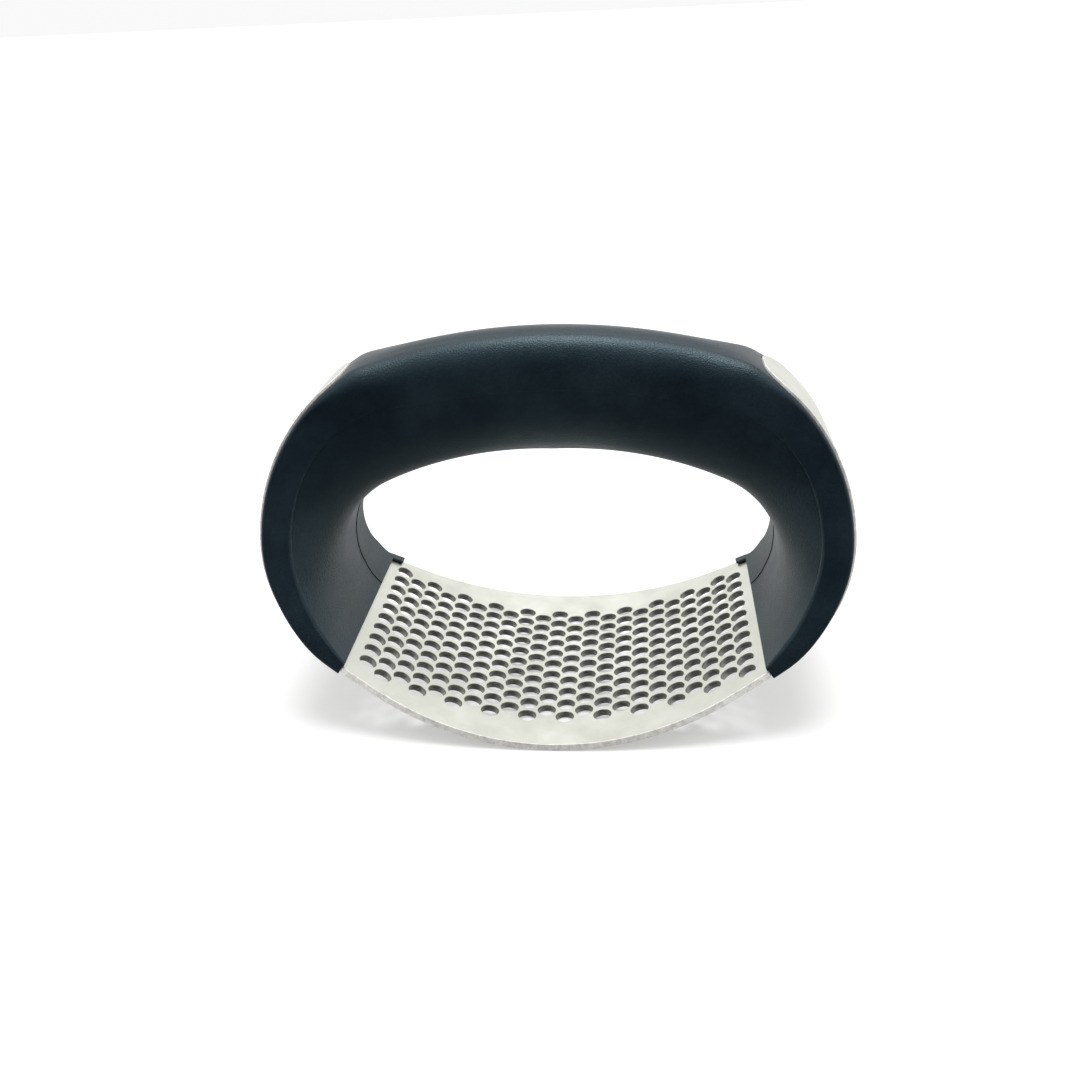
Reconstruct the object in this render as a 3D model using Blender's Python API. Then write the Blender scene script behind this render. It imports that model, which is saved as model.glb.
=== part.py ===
"""Rocking garlic press: a perforated steel band bent into a ring's lower two thirds, a moulded handle that
fills its sides and closes it over the top, and a cover behind each side of the handle.

Everything is laid out along one closed path, the band's inner surface seen from the front. A place on the
object is (s, y, n): s is the distance along the path from the middle of the floor, counted up the right side
and down the left; y is the depth; n is the height above the path, towards the middle of the ring.
Run it with blender --background --python part.py. Metres, +Z up."""

import bisect
import math

import bmesh
import bpy
from mathutils import Vector
from mathutils.geometry import delaunay_2d_cdt

MM = 0.001

# The path: the floor's arc, a short straight, then the arcs of the corner, side, shoulder and top.
FLOOR_RADIUS = 65.0 * MM
FLOOR_ANGLE = math.radians(30.4)
FLOOR_STRAIGHT = 10.2 * MM
CORNER_RADIUS = 23.0 * MM
CORNER_ANGLE = math.radians(92.1)
SIDE_RADIUS = 34.4 * MM
SIDE_ANGLE = math.radians(146.8)
SHOULDER_RADIUS = 7.5 * MM
SHOULDER_ANGLE = math.radians(162.7)

# The depth from the middle plane to the front edge, which narrows from the floor up to the grip.
FLOOR_HALF_DEPTH = 28.8 * MM
GRIP_HALF_DEPTH = 7.2 * MM
TAPER_LENGTH = 121.0 * MM

# The steel band.
SHEET = 1.4 * MM
BAND_CORNER = 7.0 * MM
HOLE_PITCH = 4.15 * MM
HOLE_DIAMETER = 3.3 * MM
HOLE_COLUMNS = 22
HOLE_ROWS = 10
HOLE_SIDES = 8
HOLE_MARGIN = 1.2 * MM

# The handle's section: the flat rim, and the crest that stands out between its two rims.
TOE = 41.6 * MM
TOE_THICKNESS = 0.8 * MM
TOE_LENGTH = 22.0 * MM
RIM = 5.0 * MM
GRIP_RIM = 8.0 * MM
RIM_GROWTH = (82.0 * MM, 120.0 * MM)
REAR_FILL = 0.95
REAR_FILL_FADE = (80.0 * MM, 104.0 * MM)
EDGE_ROUND = 0.7 * MM
GRIP_ROUND = 4.6 * MM
GRIP_ROUND_HEIGHT = 6.2 * MM
GRIP_ROUND_GROWTH = (92.0 * MM, 116.0 * MM)
GRIP_CROWN = 0.4 * MM
ROUNDED_CREST = (60.0 * MM, 105.0 * MM)

# The crest in the middle plane: an arc under the grip, one round each upper corner and one down to the toe.
GRIP_THICKNESS = 21.4 * MM
CREST_TOP_RADIUS = 80.0 * MM
CREST_TOP_ANGLE = math.radians(24.5)
CREST_SIDE_RADIUS = 20.5 * MM
CREST_FOOT_RADIUS = 17.0 * MM
CREST_FOOT_ANGLE = math.radians(128.0)

# The covers behind the sides: each meets the handle at a plane behind the middle and plugs into its pocket.
PARTING = 9.6 * MM
PARTING_GAP = 0.3 * MM
COVER_TIP = 88.0 * MM
POCKET = (60.0 * MM, 84.0 * MM)
POCKET_FRONT = -1.0 * MM
POCKET_WALL = 3.0 * MM
PLUG_LENGTH = 4.0 * MM
PLUG_CLEARANCE = 0.25 * MM

# The lips in front of the band's arms and behind them, which keep the handle from sliding off: the band is
# narrower by one on each edge, with a notch where they start. The covers' lugs reach on past the notch.
FIT = 0.3 * MM
LIP = 1.2 * MM
NOTCH = 0.4 * MM
LUG_WALL = 0.5 * MM
LUG_DROP = 1.1 * MM
LUG_LENGTH = 10.0 * MM
LUG_LEAD = 2.4 * MM

STEP = 3.0 * MM
SIDES = {1: "right", -1: "left"}
BAND_STEEL = ("band_steel", (0.75, 0.75, 0.70, 1.0), 0.28, 1.0)
HANDLE_PLASTIC = ("handle_plastic", (0.012, 0.026, 0.036, 1.0), 0.42, 0.0)


def ease(value, start, end):
    """0 before start, 1 after end, and smooth between them."""
    t = min(max((value - start) / (end - start), 0.0), 1.0)
    return t * t * (3.0 - 2.0 * t)


def chain(x, z, bends):
    """Arcs end to end from (x, z) as (start, x, z, angle, curvature), then their length and end point.

    A bend is (start angle, end angle, radius), or (angle, angle, None, length) where it is straight."""
    pieces = []
    length = 0.0
    for start, end, radius, *straight in bends:
        curvature = 1.0 / radius if radius else 0.0
        pieces.append((length, x, z, start, curvature))
        piece = radius * (end - start) if radius else straight[0]
        x, z, _ = along(pieces, length + piece)
        length += piece
    return pieces, length, (x, z)


def along(pieces, distance):
    """(x, z, angle) at a distance along a chain."""
    start, x, z, angle, curvature = pieces[bisect.bisect_right([p[0] for p in pieces], distance) - 1]
    length = distance - start
    turned = angle + curvature * length
    if curvature:
        x += (math.sin(turned) - math.sin(angle)) / curvature
        z += (math.cos(angle) - math.cos(turned)) / curvature
    else:
        x += length * math.cos(angle)
        z += length * math.sin(angle)
    return x, z, turned


def ring_path():
    """The right half of the path, from the middle of the floor to the middle of the top."""
    bends = [
        (0.0, FLOOR_ANGLE, FLOOR_RADIUS),
        (FLOOR_ANGLE, FLOOR_ANGLE, None, FLOOR_STRAIGHT),
        (FLOOR_ANGLE, CORNER_ANGLE, CORNER_RADIUS),
        (CORNER_ANGLE, SIDE_ANGLE, SIDE_RADIUS),
        (SIDE_ANGLE, SHOULDER_ANGLE, SHOULDER_RADIUS),
    ]
    shoulder_x = chain(0.0, 0.0, bends)[2][0]
    bends.append((SHOULDER_ANGLE, math.pi, shoulder_x / math.sin(SHOULDER_ANGLE)))
    return chain(0.0, 0.0, bends)


RING, TOP, RING_TOP = ring_path()
BAND_END = RING[4][0]


def from_floor(s):
    """The distance of s from the middle of the floor, whichever side it is on."""
    return min(abs(s), 2.0 * TOP - s)


def frame(s):
    """(x, z) of the path at s, and the direction there towards the middle of the ring."""
    side = -1.0 if s < 0.0 or s > TOP else 1.0
    x, z, angle = along(RING, from_floor(s))
    return side * x, z, -side * math.sin(angle), math.cos(angle)


def place(s, y, n):
    """The point (s, y, n) in the object's own axes, with the lowest point of the sheet at z = 0."""
    x, z, across, up = frame(s)
    return Vector((x + n * across, y, z + n * up + SHEET))


def half_depth(s):
    """The distance from the middle plane to the front or back edge at s."""
    share = min(abs(from_floor(s)) / TAPER_LENGTH, 1.0)
    return GRIP_HALF_DEPTH + (FLOOR_HALF_DEPTH - GRIP_HALF_DEPTH) * (1.0 + math.cos(math.pi * share)) / 2.0


def rim_thickness(s):
    distance = from_floor(s)
    share = min(max((distance - TOE) / TOE_LENGTH, 0.0), 1.0)
    side = TOE_THICKNESS + (RIM - TOE_THICKNESS) * math.sin(math.pi / 2.0 * share)
    return side + (GRIP_RIM - RIM) * ease(distance, *RIM_GROWTH)


def crest_path():
    """The crest from the middle of the top to the toe, with how far its end is from the toe's own crest."""
    bends = [
        (0.0, CREST_TOP_ANGLE, CREST_TOP_RADIUS),
        (CREST_TOP_ANGLE, math.pi / 2.0, CREST_SIDE_RADIUS),
        (math.pi / 2.0, CREST_FOOT_ANGLE, CREST_FOOT_RADIUS),
    ]
    pieces, length, (x, drop) = chain(0.0, 0.0, bends)
    toe_x, toe_z, across, up = frame(TOE)
    miss_x = toe_x + across * TOE_THICKNESS - x
    miss_z = toe_z + up * TOE_THICKNESS - (RING_TOP[1] - GRIP_THICKNESS - drop)
    return pieces, length, miss_x, miss_z


CREST, CREST_LENGTH, CREST_MISS_X, CREST_MISS_Z = crest_path()


def crest(s):
    """(x, z) of the crest that goes with s; what the arcs miss the toe by is spread along the foot."""
    share = (TOP - from_floor(s)) / (TOP - TOE)
    x, drop, _ = along(CREST, share * CREST_LENGTH)
    x += CREST_MISS_X * share
    z = RING_TOP[1] - GRIP_THICKNESS - drop + CREST_MISS_Z * share
    return (x if s <= TOP else -x), z


def section_axis(s):
    """(x, z) of the path at s, the direction to the crest, and the distance to it."""
    x, z, across, up = frame(s)
    crest_x, crest_z = crest(s)
    depth = math.hypot(crest_x - x, crest_z - z)
    share = ease(from_floor(s), TOE, TOE + TOE_LENGTH / 2.0)
    across += share * ((crest_x - x) / depth - across)
    up += share * ((crest_z - z) / depth - up)
    length = math.hypot(across, up)
    return x, z, across / length, up / length, depth


def steps(start, end, step=STEP):
    """Evenly spaced values from start to end, at most a step apart."""
    count = max(1, math.ceil((end - start) / step - 1e-6))
    return [start + (end - start) * i / count for i in range(count + 1)]


def material(name, colour, roughness, metallic):
    made = bpy.data.materials.get(name) or bpy.data.materials.new(name)
    made.use_nodes = True
    shader = made.node_tree.nodes["Principled BSDF"]
    shader.inputs["Base Color"].default_value = colour
    shader.inputs["Roughness"].default_value = roughness
    shader.inputs["Metallic"].default_value = metallic
    made.diffuse_color = colour
    return made


def add_object(name, mesh_builder, surface=None, smooth_angle=math.radians(35.0)):
    """Links a named object holding the builder's mesh; without a surface it is a hidden cutter."""
    bm = mesh_builder
    bmesh.ops.recalc_face_normals(bm, faces=bm.faces)
    mesh = bpy.data.meshes.new(name)
    bm.to_mesh(mesh)
    bm.free()
    obj = bpy.data.objects.new(name, mesh)
    bpy.context.scene.collection.objects.link(obj)
    if surface is None:
        obj.hide_render = True
        obj.display_type = "WIRE"
    else:
        mesh.materials.append(material(*surface))
        mesh.shade_smooth()
        mesh.set_sharp_from_angle(angle=smooth_angle)
    return obj


def boolean(obj, name, operation, other):
    modifier = obj.modifiers.new(name, "BOOLEAN")
    modifier.operation = operation
    modifier.object = other
    modifier.solver = "EXACT"


def loft(rings):
    """A closed solid through rings of equally many points, capped at both ends."""
    bm = bmesh.new()
    loops = [[bm.verts.new(point) for point in ring] for ring in rings]
    count = len(loops[0])
    for first, second in zip(loops, loops[1:]):
        for i in range(count):
            j = (i + 1) % count
            bm.faces.new((first[i], first[j], second[j], second[i]))
    bm.faces.new(loops[0])
    bm.faces.new(reversed(loops[-1]))
    return bm


def band_outline(margin=0.0):
    """The band's flat outline as (s, y), once round, with its four corners rounded; margin grows it."""
    corner = min(BAND_CORNER, 0.9 * (half_depth(BAND_END) - LIP)) + margin
    corner_start = BAND_END + margin - corner
    side = [(s, half_depth(s) + margin) for s in steps(0.0, TOE + margin)]
    side += [(s, half_depth(s) - LIP + margin) for s in steps(TOE + margin + NOTCH, corner_start)]
    centre = (corner_start, side[-1][1] - corner)
    arc = []
    for angle in steps(0.0, math.pi / 2.0, math.pi / 12.0)[1:]:
        arc.append((centre[0] + corner * math.sin(angle), centre[1] + corner * math.cos(angle)))
    quarter = side + arc
    right = quarter + [(s, -y) for s, y in reversed(quarter)]
    return right + [(-s, -y) for s, y in right[1:-1]]


def hole_centres():
    """The staggered pattern, each column half a pitch off its neighbours, without holes too near an edge."""
    column_gap = HOLE_PITCH * math.sqrt(3.0) / 2.0
    keep = HOLE_DIAMETER / 2.0 + HOLE_MARGIN
    for column in range(HOLE_COLUMNS):
        shift = -0.25 if column % 2 else 0.25
        for row in range(HOLE_ROWS):
            s = (column - (HOLE_COLUMNS - 1) / 2.0) * column_gap
            y = (row - (HOLE_ROWS - 1) / 2.0 + shift) * HOLE_PITCH
            if abs(s) < TOE - keep and abs(y) < half_depth(s) - keep:
                yield s, y


def flat_band():
    """The band's flat pattern as (points, faces), triangulated with its holes left open."""
    points = [Vector(point) for point in band_outline()]
    count = len(points)
    edges = [(i, (i + 1) % count) for i in range(count)]
    at = {(round(p.x / MM, 4), round(p.y / MM, 4)): i for i, p in enumerate(points)}
    centres = list(hole_centres())
    field = max(abs(s) for s, y in centres) + HOLE_DIAMETER
    edges += [(i, at[s, -y]) for (s, y), i in at.items() if abs(s) * MM > field and y > 0.0]
    radius = HOLE_DIAMETER / 2.0
    for s, y in centres:
        first = len(points)
        for i in range(HOLE_SIDES):
            angle = 2.0 * math.pi * (i + 0.5) / HOLE_SIDES
            points.append(Vector((s + radius * math.cos(angle), y + radius * math.sin(angle))))
            edges.append((first + i, first + (i + 1) % HOLE_SIDES))
    flat, _, faces, *_ = delaunay_2d_cdt(points, edges, [], 1, 1e-7)
    apothem = radius * math.cos(math.pi / HOLE_SIDES)
    solid = []
    for face in faces:
        middle = sum((flat[i] for i in face), Vector((0.0, 0.0))) / len(face)
        if all(math.hypot(middle.x - s, middle.y - y) > apothem for s, y in centres):
            solid.append(face)
    return flat, solid


def make_band():
    """The steel band: the flat pattern bent along the path, with its inner surface on it."""
    flat, faces = flat_band()
    used = sorted({i for face in faces for i in face})
    bm = bmesh.new()
    inner = {i: bm.verts.new(place(flat[i].x, flat[i].y, 0.0)) for i in used}
    outer = {i: bm.verts.new(place(flat[i].x, flat[i].y, -SHEET)) for i in used}
    sides = set()
    for face in faces:
        bm.faces.new([inner[i] for i in face])
        bm.faces.new([outer[i] for i in reversed(face)])
        for pair in zip(face, face[1:] + face[:1]):
            sides.add(pair)
    for i, j in sides:
        if (j, i) not in sides:
            bm.faces.new((inner[j], inner[i], outer[i], outer[j]))
    return add_object("steel_band", bm, BAND_STEEL)


def inner_round(s):
    """The round between the rim and the inside, which fades out where the inside rounds over by itself."""
    return min(EDGE_ROUND, rim_thickness(s) / 2.0) * (1.0 - 0.9 * ease(from_floor(s), *ROUNDED_CREST))


def inner_height(s, y):
    """How far the handle's inside stands from the path at s, at the depth y."""
    depth = half_depth(s) - inner_round(s)
    to_crest = section_axis(s)[4]
    rim = min(rim_thickness(s), to_crest - 0.05 * MM)
    if y > 0.0:
        rim += (to_crest - rim) * REAR_FILL * (1.0 - ease(from_floor(s), *REAR_FILL_FADE))
    power = 1.0 - 0.5 * ease(from_floor(s), *ROUNDED_CREST)
    return rim + (to_crest - rim) * max(1.0 - (y / depth) ** 2, 0.0) ** power


def inside(s, y, n):
    """As place, with n along the handle's own section instead of square to the path."""
    x, z, across, up, _ = section_axis(s)
    return Vector((x + n * across, y, z + n * up + SHEET))


def half_section(s, depthwise):
    """Half of the handle's section at s as (y, n), from the outside to the crest; depthwise is -1 or 1."""
    depth = half_depth(s)
    share = ease(from_floor(s), *GRIP_ROUND_GROWTH)
    outer_round = EDGE_ROUND + (GRIP_ROUND - EDGE_ROUND) * share
    round_height = EDGE_ROUND + (GRIP_ROUND_HEIGHT - EDGE_ROUND) * share
    flat = depth - outer_round
    half = [(t * flat, -SHEET - GRIP_CROWN * share * (1.0 - t * t)) for t in (0.0, 0.5, 1.0)]
    for turn in (math.pi / 8.0, math.pi / 4.0, 3.0 * math.pi / 8.0, math.pi / 2.0):
        half.append((flat + outer_round * math.sin(turn), round_height * (1.0 - math.cos(turn)) - SHEET))
    radius = inner_round(s)
    rim = inner_height(s, depthwise * (depth - radius))
    half.append((depth, rim - radius))
    half.append((depth - 0.3 * radius, rim - 0.3 * radius))
    for u in (1.0, 0.98, 0.93, 0.84, 0.7, 0.5, 0.25, 0.0):
        y = u * (depth - radius)
        half.append((y, inner_height(s, depthwise * y) if u else section_axis(s)[4]))
    return half


def handle_section(s):
    """The handle's section at s as points round it, from the middle of its outer face."""
    front = [(-y, n) for y, n in half_section(s, -1)]
    section = half_section(s, 1) + front[-2:0:-1]
    return [inside(s, y, n) for y, n in section]


def handle_blank():
    return loft([handle_section(s) for s in steps(TOE, 2.0 * TOP - TOE)])


def recess_cutter(side):
    """Removes what the band's arm covers on one side: 1 for the right arm and -1 for the left."""
    half = [(s, y) for s, y in band_outline(FIT) if s >= TOE - 2.0 * STEP and y >= 0.0]
    rings = []
    for s, y in half:
        at = s if side > 0 else 2.0 * TOP - s
        rings.append([place(at, d, n) for d, n in ((-y, -4.0 * SHEET), (y, -4.0 * SHEET), (y, FIT), (-y, FIT))])
    return loft(rings)


def span_on(side, start, end):
    """Evenly spaced places from start to end up one side: side is 1 for the right and -1 for the left."""
    return [s if side > 0 else 2.0 * TOP - s for s in steps(start, end)]


def cover_region(side, grow):
    """A cutter round all that lies behind the parting plane on one side, up to the cover's tip."""
    rings = []
    for s in span_on(side, TOE - STEP, COVER_TIP + grow):
        low, high = -5.0 * SHEET, section_axis(s)[4] + 3.0 * MM
        front, back = PARTING + PARTING_GAP / 2.0 - grow, 2.0 * FLOOR_HALF_DEPTH
        rings.append([inside(s, y, n) for y, n in ((front, low), (back, low), (back, high), (front, high))])
    return loft(rings)


def pocket_region(side, front, back, clearance=0.0):
    """The pocket in the handle's side that is open at the parting plane, or the plug that fits it."""
    rings = []
    for s in span_on(side, POCKET[0] + clearance, POCKET[1] - clearance):
        low = POCKET_WALL + clearance
        high = inner_height(s, PARTING) - POCKET_WALL / 2.0 - clearance
        rings.append([inside(s, y, n) for y, n in ((front, low), (back, low), (back, high), (front, high))])
    return loft(rings)


def lug(side):
    """A block beside the band's rear edge and over it, which runs from the cover's lip out past the notch."""
    rings = []
    joined = TOE + FIT + NOTCH
    for s in steps(TOE - LUG_LEAD, TOE + FIT) + steps(joined, TOE + LUG_LENGTH):
        outside = half_depth(s) + FIT + LUG_WALL
        gap = half_depth(s) + (FIT if s < joined else -LIP / 2.0)
        over = outside - 4.0 * LUG_WALL
        top, under = 1.5 * FIT + LUG_WALL, 1.5 * FIT
        share = min(max((s - TOE) / LUG_LENGTH, 0.0), 1.0)
        low = -LUG_DROP * math.cos(math.pi / 2.0 * share)
        section = [(over, top), (outside, top), (outside, low), (gap, low), (gap, under), (over, under)]
        at = s if side > 0 else 2.0 * TOP - s
        rings.append([place(at, y, n) for y, n in section])
    return loft(rings)


def cut_recess(obj, side):
    recess = add_object(f"{obj.name}_{SIDES[side]}_recess", recess_cutter(side))
    boolean(obj, f"{SIDES[side]}_recess", "DIFFERENCE", recess)


def make_handle():
    """The grip and the front of both sides, with a pocket in each side that opens behind."""
    handle = add_object("handle", handle_blank(), HANDLE_PLASTIC)
    for side, label in SIDES.items():
        cut_recess(handle, side)
        behind = add_object(f"behind_{label}", cover_region(side, PARTING_GAP))
        boolean(handle, f"{label}_cover_seat", "DIFFERENCE", behind)
        pocket = add_object(f"pocket_{label}", pocket_region(side, POCKET_FRONT, PARTING + PLUG_LENGTH))
        boolean(handle, f"{label}_pocket", "DIFFERENCE", pocket)
    return handle


def make_rear_cover(side):
    """One cover: the blank's rear side, a plug that fits the handle's pocket, and a lug at the foot."""
    cover = add_object(f"rear_cover_{SIDES[side]}", handle_blank(), HANDLE_PLASTIC)
    cut_recess(cover, side)
    region = add_object(f"{cover.name}_region", cover_region(side, 0.0))
    boolean(cover, "region", "INTERSECT", region)
    plug = pocket_region(side, PARTING - PLUG_LENGTH, PARTING + POCKET_WALL / 2.0, PLUG_CLEARANCE)
    boolean(cover, "plug", "UNION", add_object(f"{cover.name}_plug", plug))
    boolean(cover, "lug", "UNION", add_object(f"{cover.name}_lug", lug(side)))
    return cover


def main():
    for obj in list(bpy.data.objects):
        bpy.data.objects.remove(obj)
    make_band()
    make_handle()
    for side in SIDES:
        make_rear_cover(side)


main()
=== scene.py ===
"""Looks for the rocking garlic press: a perforated steel band, and a moulded handle with two rear covers.

The pieces follow the CAD's own layout, with finer steps, rounded edges and round holes. A place is (s, y, n):
s runs along the band's inner surface from the middle of the floor, up the right side and down the left,
y is the depth, and n the height above that surface, towards the middle of the ring. Metres, +Z up."""

import bisect
import math

import bmesh
import bpy
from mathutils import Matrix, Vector
from mathutils.geometry import delaunay_2d_cdt


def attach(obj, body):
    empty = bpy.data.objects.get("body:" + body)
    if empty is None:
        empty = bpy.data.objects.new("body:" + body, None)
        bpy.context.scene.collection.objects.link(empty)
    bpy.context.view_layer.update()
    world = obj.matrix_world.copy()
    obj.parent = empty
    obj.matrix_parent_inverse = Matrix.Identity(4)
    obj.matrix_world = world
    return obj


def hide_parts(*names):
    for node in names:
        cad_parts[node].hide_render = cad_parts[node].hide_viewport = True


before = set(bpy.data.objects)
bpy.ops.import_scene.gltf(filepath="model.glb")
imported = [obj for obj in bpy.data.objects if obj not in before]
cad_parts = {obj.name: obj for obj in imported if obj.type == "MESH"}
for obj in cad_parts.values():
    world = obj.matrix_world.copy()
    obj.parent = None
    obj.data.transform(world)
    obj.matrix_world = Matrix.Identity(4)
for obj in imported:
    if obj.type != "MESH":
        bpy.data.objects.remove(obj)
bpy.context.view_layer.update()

MM = 0.001

# The CAD's sizes.
FLOOR_RADIUS = 65.0 * MM
FLOOR_ANGLE = math.radians(30.4)
FLOOR_STRAIGHT = 10.2 * MM
CORNER_RADIUS = 23.0 * MM
CORNER_ANGLE = math.radians(92.1)
SIDE_RADIUS = 34.4 * MM
SIDE_ANGLE = math.radians(146.8)
SHOULDER_RADIUS = 7.5 * MM
SHOULDER_ANGLE = math.radians(162.7)
FLOOR_HALF_DEPTH = 28.8 * MM
GRIP_HALF_DEPTH = 7.2 * MM
TAPER_LENGTH = 121.0 * MM
SHEET = 1.4 * MM
BAND_CORNER = 7.0 * MM
HOLE_PITCH = 4.15 * MM
HOLE_RADIUS = 1.65 * MM
HOLE_COLUMNS = 22
HOLE_ROWS = 10
TOE = 41.6 * MM
TOE_THICKNESS = 0.8 * MM
TOE_LENGTH = 22.0 * MM
RIM = 5.0 * MM
GRIP_RIM = 8.0 * MM
RIM_GROWTH = (82.0 * MM, 120.0 * MM)
REAR_FILL = 0.95
REAR_FILL_FADE = (80.0 * MM, 104.0 * MM)
EDGE_ROUND = 0.7 * MM
GRIP_ROUND = 4.6 * MM
GRIP_ROUND_HEIGHT = 6.2 * MM
GRIP_ROUND_GROWTH = (92.0 * MM, 116.0 * MM)
GRIP_CROWN = 0.4 * MM
ROUNDED_CREST = (60.0 * MM, 105.0 * MM)
GRIP_THICKNESS = 21.4 * MM
CREST_TOP_RADIUS = 80.0 * MM
CREST_TOP_ANGLE = math.radians(24.5)
CREST_SIDE_RADIUS = 20.5 * MM
CREST_FOOT_RADIUS = 17.0 * MM
CREST_FOOT_ANGLE = math.radians(128.0)
PARTING = 9.6 * MM
COVER_TIP = 88.0 * MM
LUG_WALL = 0.5 * MM
LUG_DROP = 1.1 * MM
LUG_LENGTH = 10.0 * MM
LUG_LEAD = 2.4 * MM
LIP = 1.2 * MM
NOTCH = 0.4 * MM

# The shown lips' own shape: short of the sheet's outside along the arms, and past it at the feet.
LIP_INSET = 0.5 * MM
LIP_LENGTH = 18.0 * MM
LIP_FADE = 4.0 * MM
FOOT_DROP = 0.7 * MM

# How fine the shown pieces are, and their small edges and gaps.
STEP = 1.2 * MM
HOLE_SIDES = 28
HOLE_EDGE = 0.13 * MM
BAND_EDGE = 0.16 * MM
GRID = (1.5 * MM, 2.5 * MM)
GRID_CLEARANCE = 0.5 * MM
LUG_CHAMFER = 0.2 * MM
RIM_CLEARANCE = 0.05 * MM
SHARP_ANGLE = math.radians(32.0)
FIT = 0.16 * MM
SEAM = 0.18 * MM
COVER_PROUD = 0.12 * MM
SIDES = {1: "right", -1: "left"}

# The plastics' colours, dark to light; the covers' are lighter as painted light, for the light that falls on
# their faces.
GRIP_TONES = ((0.0026, 0.0068, 0.0120), (0.0046, 0.0120, 0.0190), (0.0090, 0.0190, 0.0280))
# Painted light: the covers' tones are the grip's plastic made lighter, for the light their faces catch.
COVER_PAINTED_LIGHT_TONES = ((0.0150, 0.0190, 0.0205), (0.0210, 0.0260, 0.0275), (0.0300, 0.0360, 0.0370))

# How bright the room is on the camera's side and on the others.
WORLD_DARK = 0.03
WORLD_BRIGHT = 0.95


def ease(value, start, end):
    """0 before start, 1 after end, and smooth between them."""
    t = min(max((value - start) / (end - start), 0.0), 1.0)
    return t * t * (3.0 - 2.0 * t)


def chain(x, z, bends):
    """Arcs end to end from (x, z) as (start, x, z, angle, curvature), then their length and end point."""
    pieces = []
    length = 0.0
    for start, end, radius, *straight in bends:
        pieces.append((length, x, z, start, 1.0 / radius if radius else 0.0))
        piece = radius * (end - start) if radius else straight[0]
        x, z, _ = along(pieces, length + piece)
        length += piece
    return pieces, length, (x, z)


def along(pieces, distance):
    """(x, z, angle) at a distance along a chain."""
    start, x, z, angle, curvature = pieces[bisect.bisect_right([p[0] for p in pieces], distance) - 1]
    length = distance - start
    turned = angle + curvature * length
    if curvature:
        x += (math.sin(turned) - math.sin(angle)) / curvature
        z += (math.cos(angle) - math.cos(turned)) / curvature
    else:
        x += length * math.cos(angle)
        z += length * math.sin(angle)
    return x, z, turned


def ring_path():
    """The right half of the path, from the middle of the floor to the middle of the top."""
    bends = [
        (0.0, FLOOR_ANGLE, FLOOR_RADIUS),
        (FLOOR_ANGLE, FLOOR_ANGLE, None, FLOOR_STRAIGHT),
        (FLOOR_ANGLE, CORNER_ANGLE, CORNER_RADIUS),
        (CORNER_ANGLE, SIDE_ANGLE, SIDE_RADIUS),
        (SIDE_ANGLE, SHOULDER_ANGLE, SHOULDER_RADIUS),
    ]
    shoulder_x = chain(0.0, 0.0, bends)[2][0]
    bends.append((SHOULDER_ANGLE, math.pi, shoulder_x / math.sin(SHOULDER_ANGLE)))
    return chain(0.0, 0.0, bends)


RING, TOP, RING_TOP = ring_path()
BAND_END = RING[4][0]


def from_floor(s):
    return min(abs(s), 2.0 * TOP - s)


def frame_at(s):
    """(x, z) of the path at s, and the direction there towards the middle of the ring."""
    side = -1.0 if s < 0.0 or s > TOP else 1.0
    x, z, angle = along(RING, from_floor(s))
    return side * x, z, -side * math.sin(angle), math.cos(angle)


def place(s, y, n):
    x, z, across, up = frame_at(s)
    return Vector((x + n * across, y, z + n * up + SHEET))


def half_depth(s):
    share = min(abs(from_floor(s)) / TAPER_LENGTH, 1.0)
    return GRIP_HALF_DEPTH + (FLOOR_HALF_DEPTH - GRIP_HALF_DEPTH) * (1.0 + math.cos(math.pi * share)) / 2.0


def rim_thickness(s):
    distance = from_floor(s)
    share = min(max((distance - TOE) / TOE_LENGTH, 0.0), 1.0)
    side = TOE_THICKNESS + (RIM - TOE_THICKNESS) * math.sin(math.pi / 2.0 * share)
    return side + (GRIP_RIM - RIM) * ease(distance, *RIM_GROWTH)


def outer_level(s):
    """The height of the handle's outside at s: the lips' own along the band's arms, the sheet's elsewhere."""
    distance = from_floor(s)
    inset = ease(distance, TOE, TOE + LIP_LENGTH) - ease(distance, BAND_END - NOTCH, BAND_END + LIP_FADE)
    return LIP_INSET * inset - FOOT_DROP * (1.0 - ease(distance, TOE, TOE + LIP_LENGTH)) - SHEET


def crest_path():
    """The crest from the middle of the top to the toe, with how far its end is from the toe's own crest."""
    bends = [
        (0.0, CREST_TOP_ANGLE, CREST_TOP_RADIUS),
        (CREST_TOP_ANGLE, math.pi / 2.0, CREST_SIDE_RADIUS),
        (math.pi / 2.0, CREST_FOOT_ANGLE, CREST_FOOT_RADIUS),
    ]
    pieces, length, (x, drop) = chain(0.0, 0.0, bends)
    toe_x, toe_z, across, up = frame_at(TOE)
    miss_x = toe_x + across * TOE_THICKNESS - x
    miss_z = toe_z + up * TOE_THICKNESS - (RING_TOP[1] - GRIP_THICKNESS - drop)
    return pieces, length, miss_x, miss_z


CREST, CREST_LENGTH, CREST_MISS_X, CREST_MISS_Z = crest_path()


def crest(s):
    share = (TOP - from_floor(s)) / (TOP - TOE)
    x, drop, _ = along(CREST, share * CREST_LENGTH)
    x += CREST_MISS_X * share
    z = RING_TOP[1] - GRIP_THICKNESS - drop + CREST_MISS_Z * share
    return (x if s <= TOP else -x), z


def section_axis(s):
    """(x, z) of the path at s, the direction to the crest, and the distance to it."""
    x, z, across, up = frame_at(s)
    crest_x, crest_z = crest(s)
    depth = math.hypot(crest_x - x, crest_z - z)
    share = ease(from_floor(s), TOE, TOE + TOE_LENGTH / 2.0)
    across += share * ((crest_x - x) / depth - across)
    up += share * ((crest_z - z) / depth - up)
    length = math.hypot(across, up)
    return x, z, across / length, up / length, depth


def steps(start, end, step=STEP):
    count = max(1, math.ceil((end - start) / step - 1e-6))
    return [start + (end - start) * i / count for i in range(count + 1)]


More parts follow.
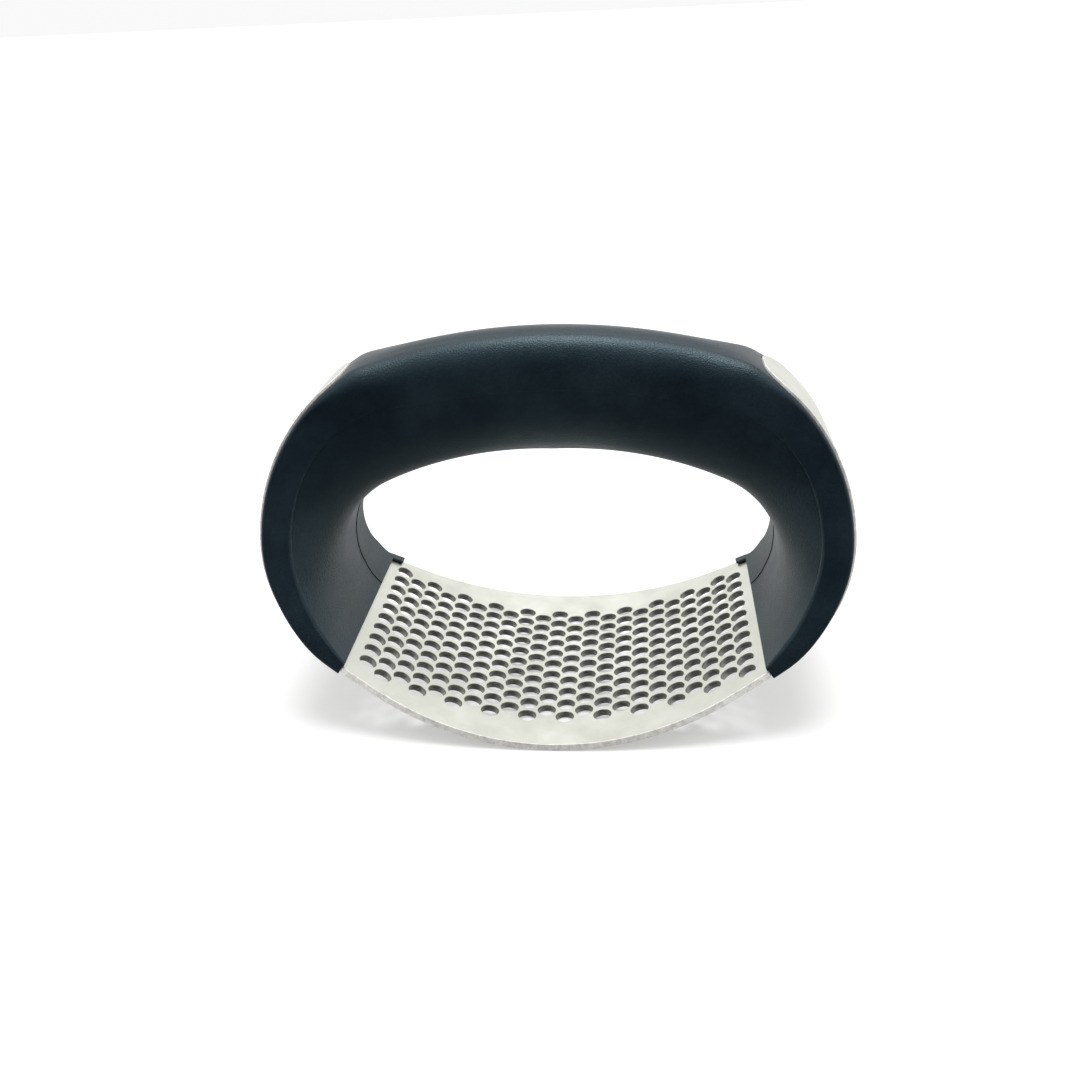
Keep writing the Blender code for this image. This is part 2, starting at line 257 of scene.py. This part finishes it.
def link(name, bm):
    """Links a named object holding the builder's mesh."""
    mesh = bpy.data.meshes.new(name)
    bm.to_mesh(mesh)
    bm.free()
    obj = bpy.data.objects.new(name, mesh)
    bpy.context.scene.collection.objects.link(obj)
    return obj


def finish_piece(obj, surfaces, slot, *nodes):
    """The piece gets its materials, rides on the body and stands for its CAD nodes."""
    for surface in surfaces:
        obj.data.materials.append(surface)
    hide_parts(*nodes)
    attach(obj, "root")


# ---- The steel band ----

def band_outline(margin=0.0):
    """The band's flat outline as (s, y), once round, with its corners rounded; margin grows it."""
    corner = min(BAND_CORNER, 0.9 * (half_depth(BAND_END) - LIP)) + margin
    corner_start = BAND_END + margin - corner
    side = []
    for s in steps(0.0, TOE):
        side.append((s + margin * s / TOE, half_depth(s) + margin))
    for s in steps(TOE + NOTCH, corner_start):
        shift = margin * (corner_start - s) / (corner_start - TOE - NOTCH)
        side.append((s + shift, half_depth(s) - LIP + margin))
    centre = (corner_start, side[-1][1] - corner)
    arc = []
    for angle in steps(0.0, math.pi / 2.0, math.pi / 24.0)[1:]:
        arc.append((centre[0] + corner * math.sin(angle), centre[1] + corner * math.cos(angle)))
    quarter = side + arc
    right = quarter + [(s, -y) for s, y in reversed(quarter)]
    return right + [(-s, -y) for s, y in right[1:-1]]


def hole_centres():
    column_gap = HOLE_PITCH * math.sqrt(3.0) / 2.0
    for column in range(HOLE_COLUMNS):
        shift = -0.25 if column % 2 else 0.25
        for row in range(HOLE_ROWS):
            s = (column - (HOLE_COLUMNS - 1) / 2.0) * column_gap
            yield s, (row - (HOLE_ROWS - 1) / 2.0 + shift) * HOLE_PITCH


def circle(centre, radius, sides):
    turns = [2.0 * math.pi * (i + 0.5) / sides for i in range(sides)]
    return [Vector((centre[0] + radius * math.cos(a), centre[1] + radius * math.sin(a))) for a in turns]


def flat_band():
    """The inset flat pattern as (points, faces, wall): wall maps a boundary point to its place on the wall,
    and whether it belongs to the outline rather than to a hole."""
    inset = [Vector(p) for p in band_outline(-BAND_EDGE)]
    wall_places = [Vector(p) for p in band_outline()]
    edges = [(i, (i + 1) % len(inset)) for i in range(len(inset))]
    points = list(inset)
    centres = list(hole_centres())
    for centre in centres:
        first = len(points)
        points += circle(centre, HOLE_RADIUS + HOLE_EDGE, HOLE_SIDES)
        wall_places += circle(centre, HOLE_RADIUS, HOLE_SIDES)
        edges += [(first + i, first + (i + 1) % HOLE_SIDES) for i in range(HOLE_SIDES)]
    clear = HOLE_RADIUS + 2.0 * HOLE_EDGE
    near = {}
    for s, y in centres:
        near.setdefault(round(s / HOLE_PITCH), []).append((s, y))
    for s in steps(-BAND_END + GRID[0], BAND_END - GRID[0], GRID[0]):
        close = [c for k in (-1, 0, 1) for c in near.get(round(s / HOLE_PITCH) + k, [])]
        edge = half_depth(s) - LIP
        for y in steps(-edge, edge, GRID[1])[1:-1]:
            past_end = max(abs(s) - BAND_END + BAND_CORNER, 0.0)
            past_edge = max(abs(y) - edge + BAND_CORNER, 0.0)
            in_corner = math.hypot(past_end, past_edge) < BAND_CORNER - GRID_CLEARANCE
            if in_corner and all(math.hypot(s - a, y - b) > clear for a, b in close):
                points.append(Vector((s, y)))
    flat, _, faces, origins, _, _ = delaunay_2d_cdt(points, edges, [], 1, 1e-7)
    wall = {}
    for i, origin in enumerate(origins):
        if origin and min(origin) < len(wall_places):
            wall[i] = (wall_places[min(origin)], min(origin) < len(inset))
    apothem = (HOLE_RADIUS + HOLE_EDGE) * math.cos(math.pi / HOLE_SIDES)
    solid = []
    for face in faces:
        middle = sum((flat[i] for i in face), Vector((0.0, 0.0))) / len(face)
        close = [c for k in (-1, 0, 1) for c in near.get(round(middle.x / HOLE_PITCH) + k, [])]
        if all(math.hypot(middle.x - s, middle.y - y) > apothem for s, y in close):
            solid.append(face)
    return flat, solid, wall


def make_band(surface, cut_edge, bore):
    """The bent sheet, with every hole and edge slightly broken and its normals taken from the path."""
    flat, faces, wall = flat_band()
    bm = bmesh.new()
    normals = {}

    def add(place_2d, n, outward, share):
        """A vertex with its normal, from the sheet's own (share 0) to the wall's (share 1)."""
        s, y = place_2d
        vert = bm.verts.new(place(s, y, n))
        _, _, across, up = frame_at(s)
        sheet = Vector((across, 0.0, up)) * (1.0 if n > -SHEET / 2.0 else -1.0)
        edge = Vector((outward.x * up, outward.y, -outward.x * across)) if outward else sheet
        normals[vert] = sheet.lerp(edge, share).normalized()
        return vert

    used = sorted({i for face in faces for i in face})
    inner, outer = {}, {}
    for i in used:
        inner[i] = add(flat[i], 0.0, None, 0.0)
        outer[i] = add(flat[i], -SHEET, None, 0.0)
    sides = set()
    for face in faces:
        bm.faces.new([inner[i] for i in face])
        bm.faces.new([outer[i] for i in reversed(face)])
        sides.update(zip(face, face[1:] + face[:1]))
    rim = {i for i, j in sides if (j, i) not in sides}
    upper, lower = {}, {}
    for i in rim:
        outward = (wall[i][0] - flat[i]).normalized()
        edge = (wall[i][0] - flat[i]).length
        upper[i] = add(wall[i][0], -edge, outward, 1.0)
        lower[i] = add(wall[i][0], edge - SHEET, outward, 1.0)
    for i, j in sides:
        if (j, i) in sides:
            continue
        for first, second in ((inner, upper), (upper, lower), (lower, outer)):
            face = bm.faces.new((first[j], first[i], second[i], second[j]))
            # Outline walls take the cut edge's material; hole walls take the darker one with painted shade.
            face.material_index = 1 if wall[i][1] else 2
    bm.verts.index_update()
    by_vertex = [normals[v] for v in bm.verts]
    obj = link("band", bm)
    obj.data.shade_smooth()
    obj.data.normals_split_custom_set_from_vertices(by_vertex)
    finish_piece(obj, (surface, cut_edge, bore), "band_steel", "steel_band")


# ---- The handle ----

def loft(rings):
    """A closed solid through rings of equally many points, capped at both ends."""
    bm = bmesh.new()
    loops = [[bm.verts.new(point) for point in ring] for ring in rings]
    count = len(loops[0])
    for first, second in zip(loops, loops[1:]):
        for i in range(count):
            j = (i + 1) % count
            bm.faces.new((first[i], first[j], second[j], second[i]))
    bm.faces.new(loops[0])
    bm.faces.new(reversed(loops[-1]))
    bmesh.ops.recalc_face_normals(bm, faces=bm.faces)
    return bm


def inner_round(s):
    """The round between the rim and the inside, which fades out where the inside rounds over by itself."""
    return min(EDGE_ROUND, rim_thickness(s) / 2.0) * (1.0 - 0.9 * ease(from_floor(s), *ROUNDED_CREST))


def inner_height(s, y):
    """How far the handle's inside stands from the path at s, at the depth y."""
    depth = half_depth(s) - inner_round(s)
    to_crest = section_axis(s)[4]
    rim = min(rim_thickness(s), to_crest - RIM_CLEARANCE)
    if y > 0.0:
        rim += (to_crest - rim) * REAR_FILL * (1.0 - ease(from_floor(s), *REAR_FILL_FADE))
    power = 1.0 - 0.5 * ease(from_floor(s), *ROUNDED_CREST)
    return rim + (to_crest - rim) * max(1.0 - (y / depth) ** 2, 0.0) ** power


def inside(s, y, n):
    """As place, with n along the handle's own section instead of square to the path."""
    x, z, across, up, _ = section_axis(s)
    return Vector((x + n * across, y, z + n * up + SHEET))


def half_section(s, depthwise, lift):
    """Half of the handle's section at s as (y, n), from the outside to the crest; depthwise is -1 or 1."""
    depth = half_depth(s)
    share = ease(from_floor(s), *GRIP_ROUND_GROWTH)
    outer_round = EDGE_ROUND + (GRIP_ROUND - EDGE_ROUND) * share
    round_height = EDGE_ROUND + (GRIP_ROUND_HEIGHT - EDGE_ROUND) * share
    flat = depth - outer_round
    level = outer_level(s)
    half = [(t * flat, level - GRIP_CROWN * share * (1.0 - t * t)) for t in (0.0, 0.25, 0.5, 0.75, 1.0)]
    for turn in steps(0.0, math.pi / 2.0, math.pi / 18.0)[1:]:
        half.append((flat + outer_round * math.sin(turn), round_height * (1.0 - math.cos(turn)) + level))
    radius = inner_round(s)
    rim = inner_height(s, depthwise * (depth - radius))
    low = half[-1][1]
    for t in (0.25, 0.5, 0.75):
        half.append((depth, low + t * (rim - radius - low)))
    for turn in steps(0.0, math.pi / 2.0, math.pi / 8.0):
        half.append((depth - radius * (1.0 - math.cos(turn)), rim - radius * (1.0 - math.sin(turn))))
    for u in (0.995, 0.98, 0.96, 0.93, 0.89, 0.84, 0.78, 0.7, 0.6, 0.5, 0.4, 0.3, 0.2, 0.1, 0.0):
        y = u * (depth - radius)
        half.append((y, inner_height(s, depthwise * y) + lift))
    return half


def handle_blank(lift=0.0):
    rings = []
    for s in steps(TOE, 2.0 * TOP - TOE):
        front = [(-y, n) for y, n in half_section(s, -1, 0.0)]
        section = half_section(s, 1, lift) + front[-2:0:-1]
        rings.append([inside(s, y, n) for y, n in section])
    return loft(rings)


def recess_cutter(side):
    half = [(s, y) for s, y in band_outline(FIT) if s >= TOE - 4.0 * MM and y >= 0.0]
    rings = []
    for s, y in half:
        at = s if side > 0 else 2.0 * TOP - s
        section = ((-y, -4.0 * SHEET), (y, -4.0 * SHEET), (y, FIT), (-y, FIT))
        rings.append([place(at, depth, n) for depth, n in section])
    return loft(rings)


def cover_region(side, grow):
    """All that lies behind the parting plane on one side, up to the cover's tip."""
    rings = []
    for s in steps(TOE - 3.0 * MM, COVER_TIP + grow):
        at = s if side > 0 else 2.0 * TOP - s
        high = section_axis(at)[4] + 3.0 * MM
        front, back = PARTING + SEAM / 2.0 - grow, 2.0 * FLOOR_HALF_DEPTH
        section = ((front, -5.0 * SHEET), (back, -5.0 * SHEET), (back, high), (front, high))
        rings.append([inside(at, y, n) for y, n in section])
    return loft(rings)


def lug(side):
    """The block at a cover's foot that reaches over the band's edge."""
    rings = []
    joined = TOE + FIT + NOTCH
    for s in steps(TOE - LUG_LEAD, TOE + FIT) + steps(joined, TOE + LUG_LENGTH):
        outside = half_depth(s) + FIT + LUG_WALL
        gap = half_depth(s) + (FIT if s < joined else -LIP / 2.0)
        over = outside - 4.0 * LUG_WALL
        top, under = 1.5 * FIT + LUG_WALL, 1.5 * FIT
        share = min(max((s - TOE) / LUG_LENGTH, 0.0), 1.0)
        low = -LUG_DROP * math.cos(math.pi / 2.0 * share)
        chamfer = [(outside - LUG_CHAMFER, top), (outside, top - LUG_CHAMFER)]
        section = [(over, top), *chamfer, (outside, low), (gap, low), (gap, under), (over, under)]
        at = s if side > 0 else 2.0 * TOP - s
        rings.append([place(at, y, n) for y, n in section])
    return loft(rings)


def carve(obj, *cuts):
    """Applies Booleans in order, each (operation, builder), and leaves one plain mesh."""
    helpers = []
    for operation, bm in cuts:
        helper = link("helper", bm)
        helper.hide_render = True
        modifier = obj.modifiers.new("cut", "BOOLEAN")
        modifier.operation = operation
        modifier.object = helper
        modifier.solver = "EXACT"
        helpers.append(helper)
    bpy.context.view_layer.update()
    graph = bpy.context.evaluated_depsgraph_get()
    mesh = bpy.data.meshes.new_from_object(obj.evaluated_get(graph))
    mesh.name = obj.name
    obj.modifiers.clear()
    obj.data = mesh
    for helper in helpers:
        bpy.data.objects.remove(helper)
    mesh.shade_smooth()
    mesh.set_sharp_from_angle(angle=SHARP_ANGLE)
    weighted = obj.modifiers.new("weighted_normals", "WEIGHTED_NORMAL")
    weighted.keep_sharp = True


def make_handle(surface):
    handle = link("grip_and_sides", handle_blank())
    cuts = []
    for side in SIDES:
        cuts.append(("DIFFERENCE", recess_cutter(side)))
        cuts.append(("DIFFERENCE", cover_region(side, SEAM)))
    carve(handle, *cuts)
    finish_piece(handle, (surface,), "handle_plastic", "handle")


def make_cover(side, surface):
    cover = link(f"cover_{SIDES[side]}", handle_blank(COVER_PROUD))
    carve(
        cover,
        ("DIFFERENCE", recess_cutter(side)),
        ("INTERSECT", cover_region(side, 0.0)),
        ("UNION", lug(side)),
    )
    finish_piece(cover, (surface,), "handle_plastic", f"rear_cover_{SIDES[side]}")


# ---- Materials ----

def new_material(name):
    made = bpy.data.materials.new(name)
    made.use_nodes = True
    nodes, links = made.node_tree.nodes, made.node_tree.links
    return made, nodes, links, nodes["Principled BSDF"]


def noise(nodes, links, vector, scale, detail=3.0, roughness=0.5):
    node = nodes.new("ShaderNodeTexNoise")
    node.inputs["Scale"].default_value = scale
    node.inputs["Detail"].default_value = detail
    node.inputs["Roughness"].default_value = roughness
    links.new(vector, node.inputs["Vector"])
    return node.outputs["Fac"]


def ramp(nodes, links, value, stops):
    node = nodes.new("ShaderNodeValToRGB")
    elements = node.color_ramp.elements
    while len(elements) < len(stops):
        elements.new(0.5)
    for element, (position, colour) in zip(elements, stops):
        element.position = position
        element.color = (*colour, 1.0)
    links.new(value, node.inputs["Fac"])
    return node.outputs["Color"]


def remap(nodes, links, value, low, high, from_low=0.3, from_high=0.7):
    node = nodes.new("ShaderNodeMapRange")
    node.inputs["From Min"].default_value = from_low
    node.inputs["From Max"].default_value = from_high
    node.inputs["To Min"].default_value = low
    node.inputs["To Max"].default_value = high
    links.new(value, node.inputs["Value"])
    return node.outputs["Result"]


def bump(nodes, links, height, strength, distance, below=None):
    node = nodes.new("ShaderNodeBump")
    node.inputs["Strength"].default_value = strength
    node.inputs["Distance"].default_value = distance
    links.new(height, node.inputs["Height"])
    if below is not None:
        links.new(below, node.inputs["Normal"])
    return node.outputs["Normal"]


def stretched(nodes, links, vector, scale):
    node = nodes.new("ShaderNodeMapping")
    node.inputs["Scale"].default_value = scale
    links.new(vector, node.inputs["Vector"])
    return node.outputs["Vector"]


def plastic_material(name, tones, roughness):
    """Moulded plastic with a fine spark-eroded grain and slight changes of tone and polish."""
    made, nodes, links, shader = new_material(name)
    at = nodes.new("ShaderNodeTexCoord").outputs["Object"]
    tone = noise(nodes, links, at, 90.0, 4.0, 0.6)
    speck = noise(nodes, links, at, 2600.0, 2.0, 0.6)
    mix = nodes.new("ShaderNodeMix")
    mix.data_type = "FLOAT"
    mix.inputs[0].default_value = 0.35
    links.new(tone, mix.inputs[2])
    links.new(speck, mix.inputs[3])
    colour = ramp(nodes, links, mix.outputs[0], list(zip((0.32, 0.52, 0.72), tones)))
    links.new(colour, shader.inputs["Base Color"])
    links.new(remap(nodes, links, tone, *roughness), shader.inputs["Roughness"])
    shader.inputs["IOR"].default_value = 1.5
    shader.inputs["Specular Tint"].default_value = (0.66, 0.91, 1.0, 1.0)
    grain = noise(nodes, links, at, 3800.0, 2.0, 0.55)
    waves = noise(nodes, links, at, 420.0, 2.0, 0.5)
    soft = bump(nodes, links, waves, 0.25, 0.00006)
    links.new(bump(nodes, links, grain, 0.9, 0.0001, soft), shader.inputs["Normal"])
    return made


def steel_material():
    """Stainless sheet with a fine rolled grain that runs along the band, and light scuffs."""
    made, nodes, links, shader = new_material("satin_steel")
    at = nodes.new("ShaderNodeTexCoord").outputs["Object"]
    rolled = noise(nodes, links, stretched(nodes, links, at, (240.0, 5200.0, 240.0)), 1.0, 4.0, 0.65)
    clouds = noise(nodes, links, at, 130.0, 4.0, 0.6)
    pits = noise(nodes, links, at, 2400.0, 3.0, 0.7)
    tones = ((0.71, 0.71, 0.63), (0.77, 0.78, 0.70), (0.83, 0.84, 0.78))
    colour = ramp(nodes, links, clouds, list(zip((0.30, 0.50, 0.70), tones)))
    links.new(colour, shader.inputs["Base Color"])
    shader.inputs["Metallic"].default_value = 1.0
    links.new(remap(nodes, links, clouds, 0.30, 0.44), shader.inputs["Roughness"])
    lines = bump(nodes, links, rolled, 0.12, 0.00003)
    links.new(bump(nodes, links, pits, 0.10, 0.00003, lines), shader.inputs["Normal"])
    return made


def cut_edge_material():
    """The sheet's sheared outer edge: duller than its faces, with rough marks across it."""
    made, nodes, links, shader = new_material("cut_steel_edge")
    at = nodes.new("ShaderNodeTexCoord").outputs["Object"]
    marks = noise(nodes, links, at, 900.0, 5.0, 0.75)
    tones = ((0.52, 0.51, 0.48), (0.74, 0.73, 0.69), (0.90, 0.89, 0.84))
    colour = ramp(nodes, links, marks, list(zip((0.30, 0.50, 0.68), tones)))
    links.new(colour, shader.inputs["Base Color"])
    shader.inputs["Metallic"].default_value = 0.3
    links.new(remap(nodes, links, marks, 0.45, 0.65), shader.inputs["Roughness"])
    links.new(bump(nodes, links, marks, 0.5, 0.00008), shader.inputs["Normal"])
    return made


def shaded_bore_material():
    """The punched holes' walls: smeared and dull, and much darker than the sheet as painted shade, for the
    shade inside the holes.
    """
    made, nodes, links, shader = new_material("punched_steel_painted_shade")
    at = nodes.new("ShaderNodeTexCoord").outputs["Object"]
    smears = noise(nodes, links, stretched(nodes, links, at, (900.0, 900.0, 2600.0)), 1.0, 4.0, 0.7)
    # Painted shade: these dark tones stand in for the shade inside the holes; the smears are the walls' own
    # texture.
    tones = ((0.18, 0.18, 0.17), (0.30, 0.30, 0.28), (0.46, 0.46, 0.43))
    colour = ramp(nodes, links, smears, list(zip((0.30, 0.50, 0.70), tones)))
    links.new(colour, shader.inputs["Base Color"])
    shader.inputs["Metallic"].default_value = 0.7
    links.new(remap(nodes, links, smears, 0.35, 0.55), shader.inputs["Roughness"])
    links.new(bump(nodes, links, smears, 0.35, 0.00005), shader.inputs["Normal"])
    return made


def floor_material():
    made, nodes, links, shader = new_material("studio_sweep")
    at = nodes.new("ShaderNodeTexCoord").outputs["Object"]
    tone = noise(nodes, links, at, 3.0, 2.0, 0.5)
    tones = ((0.62, 0.62, 0.62), (0.65, 0.65, 0.65))
    links.new(ramp(nodes, links, tone, list(zip((0.3, 0.7), tones))), shader.inputs["Base Color"])
    shader.inputs["Roughness"].default_value = 0.9
    shader.inputs["Specular IOR Level"].default_value = 0.1
    shader.inputs["Emission Color"].default_value = (1.0, 1.0, 1.0, 1.0)
    shader.inputs["Emission Strength"].default_value = 0.37
    return made


# ---- The studio ----

def make_floor(surface):
    """A pale floor out to the horizon, in rings that widen outwards."""
    bm = bmesh.new()
    first_radius, widening, ring_count, sides = 0.1, 1.6, 14, 48
    radii = [first_radius * widening ** i for i in range(ring_count)]
    rings = []
    for radius in radii:
        turns = [2.0 * math.pi * i / sides for i in range(sides)]
        rings.append([bm.verts.new((radius * math.cos(a), radius * math.sin(a), 0.0)) for a in turns])
    bm.faces.new(rings[0])
    for inner, outer in zip(rings, rings[1:]):
        for i in range(sides):
            j = (i + 1) % sides
            bm.faces.new((inner[i], outer[i], outer[j], inner[j]))
    floor = link("floor", bm)
    floor.data.materials.append(surface)
    floor.visible_glossy = False


def make_sun(name, direction, strength, angle):
    light = bpy.data.lights.new(name, "SUN")
    light.energy = strength
    light.angle = math.radians(angle)
    obj = bpy.data.objects.new(name, light)
    obj.rotation_euler = Vector(direction).to_track_quat("-Z", "Y").to_euler()
    bpy.context.scene.collection.objects.link(obj)


def make_world():
    """A room that is bright above and behind the object and dark on the camera's side."""
    world = bpy.data.worlds.new("studio")
    bpy.context.scene.world = world
    world.use_nodes = True
    nodes, links = world.node_tree.nodes, world.node_tree.links
    fold = nodes.new("ShaderNodeVectorMath")
    fold.operation = "ABSOLUTE"
    direction = nodes.new("ShaderNodeTexCoord").outputs["Generated"]
    links.new(direction, fold.inputs[0])
    shares = []
    for vector, weights in ((direction, (0.0, 0.70, 0.60)), (fold.outputs["Vector"], (0.60, 0.0, 0.0))):
        towards = nodes.new("ShaderNodeVectorMath")
        towards.operation = "DOT_PRODUCT"
        towards.inputs[1].default_value = weights
        links.new(vector, towards.inputs[0])
        shares.append(towards.outputs["Value"])
    total = nodes.new("ShaderNodeMath")
    links.new(shares[0], total.inputs[0])
    links.new(shares[1], total.inputs[1])
    shade = remap(nodes, links, total.outputs["Value"], WORLD_DARK, WORLD_BRIGHT, -0.35, 0.55)
    nodes["Background"].inputs["Color"].default_value = (1.0, 1.0, 1.0, 1.0)
    links.new(shade, nodes["Background"].inputs["Strength"])


def make_camera():
    camera = bpy.data.cameras.new("camera")
    camera.lens = 37.35
    camera.clip_start = 0.005
    obj = bpy.data.objects.new("camera", camera)
    obj.location = (0.01729, -0.19753, 0.12319)
    obj.rotation_euler = [math.radians(a) for a in (64.669, 2.360, 4.885)]
    bpy.context.scene.collection.objects.link(obj)
    bpy.context.scene.camera = obj


make_band(steel_material(), cut_edge_material(), shaded_bore_material())
make_handle(plastic_material("moulded_plastic", GRIP_TONES, (0.30, 0.42)))
# The covers' plastic carries painted light: lighter tones for the light on their faces, and a rougher polish.
cover_plastic_painted_light = plastic_material("cover_plastic_painted_light", COVER_PAINTED_LIGHT_TONES, (0.40, 0.50))
for side_of_handle in SIDES:
    make_cover(side_of_handle, cover_plastic_painted_light)
make_floor(floor_material())
make_world()
make_sun("overhead_softbox", (-0.02, -0.12, -1.0), 2.3, 32.0)
make_camera()
bpy.context.scene.view_settings.view_transform = "Standard"
